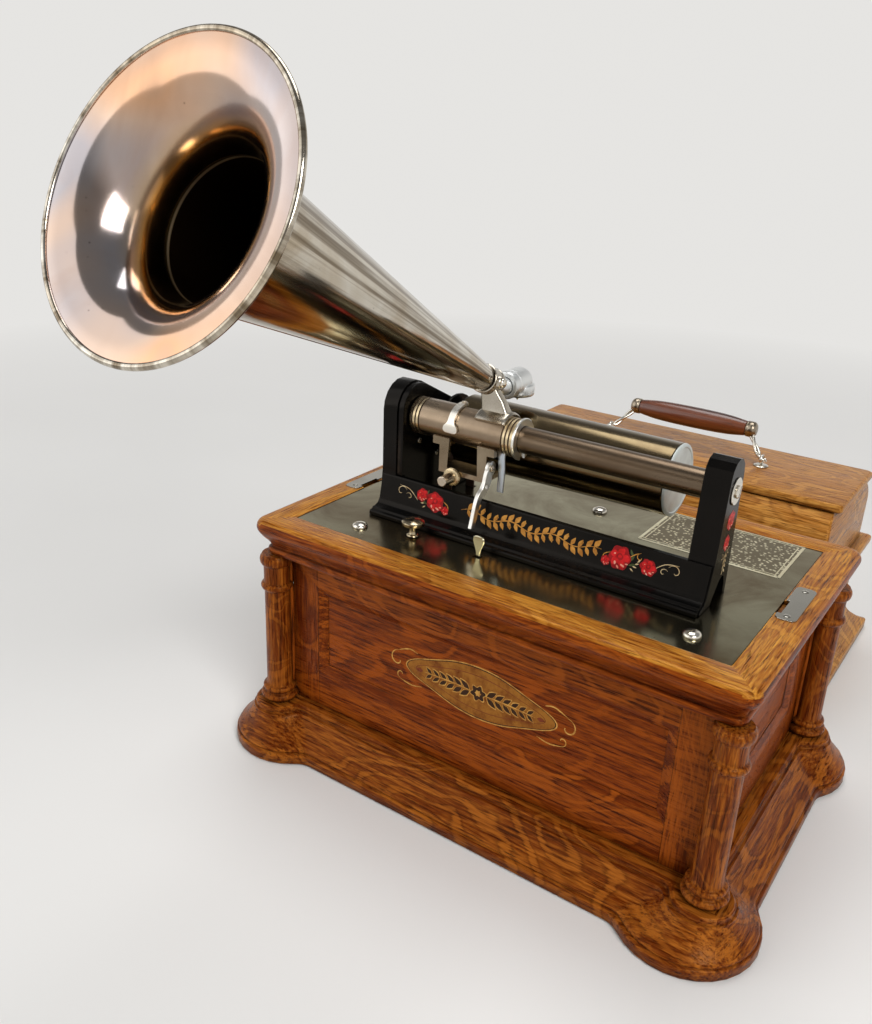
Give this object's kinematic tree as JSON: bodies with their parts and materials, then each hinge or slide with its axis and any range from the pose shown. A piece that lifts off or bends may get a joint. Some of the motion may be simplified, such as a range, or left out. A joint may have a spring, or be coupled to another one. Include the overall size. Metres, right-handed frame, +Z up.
{
  "type": "cylinder phonograph",
  "caption": "Spring-driven cylinder phonograph in an oak table case with turned corner columns, black iron frame and nickel horn, its lid standing behind.",
  "frame": {"origin": "centre of the flat underside of the case, at table level", "axes": "+X towards the right end of the case, +Y towards the back where the lid stands, +Z up; the horn points to -Y"},
  "size_m": [0.3612, 0.6055, 0.4235],
  "materials": {
    "oak": "varnished quarter-sawn oak",
    "oak_light": "varnished quarter-sawn oak",
    "pine": "bare board",
    "nickel": "polished warm nickel plate",
    "steel": "satin",
    "black_iron": "glossy black enamel with a painted flower scroll",
    "brass": "satin",
    "aluminium": "satin",
    "end_cap": "pale grey",
    "leather": "worn",
    "walnut": "polished red-brown"
  },
  "bodies": {
    "case": {"base_moulding": "oak", "bottom_board": "pine", "case_frame": "oak", "panel_front": "oak_light", "panel_back": "oak_light", "panel_left": "oak_light", "panel_right": "oak_light", "column_front_left": "oak_light", "column_front_right": "oak_light", "column_back_left": "oak_light", "column_back_right": "oak_light", "top_rim": "oak", "bedplate": "nickel", "clip_left": "steel", "clip_right": "steel", "escutcheon": "nickel", "iron_frame": "black_iron", "gear_cover": "black_iron", "feed_tube": "nickel", "tube_plug": "steel", "drive_belt": "leather", "motor_plate_left": "steel", "motor_plate_right": "steel", "motor_pillar_front": "steel", "motor_pillar_rear": "steel"},
    "mandrel_set": {"mandrel": "nickel", "mandrel_cap": "end_cap", "mandrel_shaft": "steel", "mandrel_pulley": "nickel", "mandrel_gear": "brass"},
    "idler": {"idler_gear": "brass"},
    "feed": {"feed_screw": "steel", "feed_gear": "brass"},
    "drive": {"drive_arbor": "steel", "drive_wheel": "brass", "drive_pulley": "nickel"},
    "second": {"second_arbor": "steel", "second_wheel": "brass"},
    "spring_barrel": {"barrel": "brass"},
    "governor_set": {"governor": "brass"},
    "winder": {"winding_arbor": "steel"},
    "nut": {"half_nut": "brass"},
    "carriage": {"sleeve": "nickel", "yoke": "nickel", "yoke_pin": "nickel", "guide_arm": "steel", "horn_clamp": "nickel", "horn": "nickel", "reproducer_arm": "nickel", "reproducer": "aluminium"},
    "paddle": {"paddle_lever": "nickel"},
    "hook": {"lift_lever": "nickel"},
    "start": {"start_lever": "nickel"},
    "knob": {"thumb_knob": "nickel"},
    "lid_set": {"lid": "oak", "lid_board": "oak", "handle_eye_left": "steel", "handle_eye_right": "steel"},
    "handle": {"handle_bails": "nickel", "handle_grip": "walnut"}
  },
  "joints": [
    {"name": "mandrel_spin", "type": "hinge", "parent": "case", "child": "mandrel_set", "pos_m": [-0.0811, 0.0224, 0.2035], "axis": [1, 0, 0], "continuous": true},
    {"name": "idler_spin", "type": "hinge", "parent": "case", "child": "idler", "pos_m": [-0.1046, 0.0028, 0.21175], "axis": [1, 0, 0], "continuous": true},
    {"name": "feed_screw_spin", "type": "hinge", "parent": "case", "child": "feed", "pos_m": [-0.053, -0.0168, 0.22], "axis": [1, 0, 0], "continuous": true},
    {"name": "drive_spin", "type": "hinge", "parent": "case", "child": "drive", "pos_m": [-0.0932, 0.0224, 0.09], "axis": [1, 0, 0], "continuous": true},
    {"name": "second_spin", "type": "hinge", "parent": "case", "child": "second", "pos_m": [-0.076, 0.01356, 0.05899], "axis": [1, 0, 0], "continuous": true},
    {"name": "barrel_spin", "type": "hinge", "parent": "case", "child": "spring_barrel", "pos_m": [-0.0656, -0.024, 0.072], "axis": [1, 0, 0], "continuous": true},
    {"name": "governor_spin", "type": "hinge", "parent": "case", "child": "governor_set", "pos_m": [-0.076, 0.04247, 0.11229], "axis": [1, 0, 0], "continuous": true},
    {"name": "winder_turn", "type": "hinge", "parent": "case", "child": "winder", "pos_m": [-0.1425, -0.024, 0.072], "axis": [1, 0, 0], "continuous": true},
    {"name": "carriage_slide", "type": "slide", "parent": "case", "child": "nut", "axis": [1, 0, 0], "range_m": [-0.0005, 0.11]},
    {"name": "carriage_tilt", "type": "hinge", "parent": "nut", "child": "carriage", "pos_m": [-0.053, -0.0168, 0.22], "axis": [1, 0, 0], "range_deg": [-3, 6]},
    {"name": "paddle_swing", "type": "hinge", "parent": "carriage", "child": "paddle", "pos_m": [-0.053, -0.0168, 0.22], "axis": [1, 0, 0], "range_deg": [-25, 0]},
    {"name": "lift_lever_swing", "type": "hinge", "parent": "carriage", "child": "hook", "pos_m": [-0.0338, -0.0289, 0.2016], "axis": [1, 0, 0], "range_deg": [-25, 0]},
    {"name": "start_lever_swing", "type": "hinge", "parent": "case", "child": "start", "pos_m": [-0.0205, -0.0572, 0.1508], "axis": [1, 0, 0], "range_deg": [-12, 12]},
    {"name": "thumb_knob_turn", "type": "hinge", "parent": "case", "child": "knob", "pos_m": [-0.0672, -0.058, 0.1576], "axis": [0, 0, 1], "range_deg": [-170, 170]},
    {"name": "lid_lift", "type": "slide", "parent": "case", "child": "lid_set", "axis": [0, 0, 1], "range_m": [0, 0.2]},
    {"name": "handle_swing", "type": "hinge", "parent": "lid_set", "child": "handle", "pos_m": [-0.0084, 0.231, 0.1573], "axis": [1, 0, 0], "range_deg": [-2, 118]}
  ],
  "couplings": [
    {"joint": "idler_spin", "follows": "mandrel_spin", "ratio": -1.125},
    {"joint": "feed_screw_spin", "follows": "mandrel_spin", "ratio": 1},
    {"joint": "drive_spin", "follows": "mandrel_spin", "ratio": 1},
    {"joint": "second_spin", "follows": "mandrel_spin", "ratio": -0.30303},
    {"joint": "barrel_spin", "follows": "mandrel_spin", "ratio": 0.079365},
    {"joint": "governor_spin", "follows": "mandrel_spin", "ratio": -3}
  ]
}
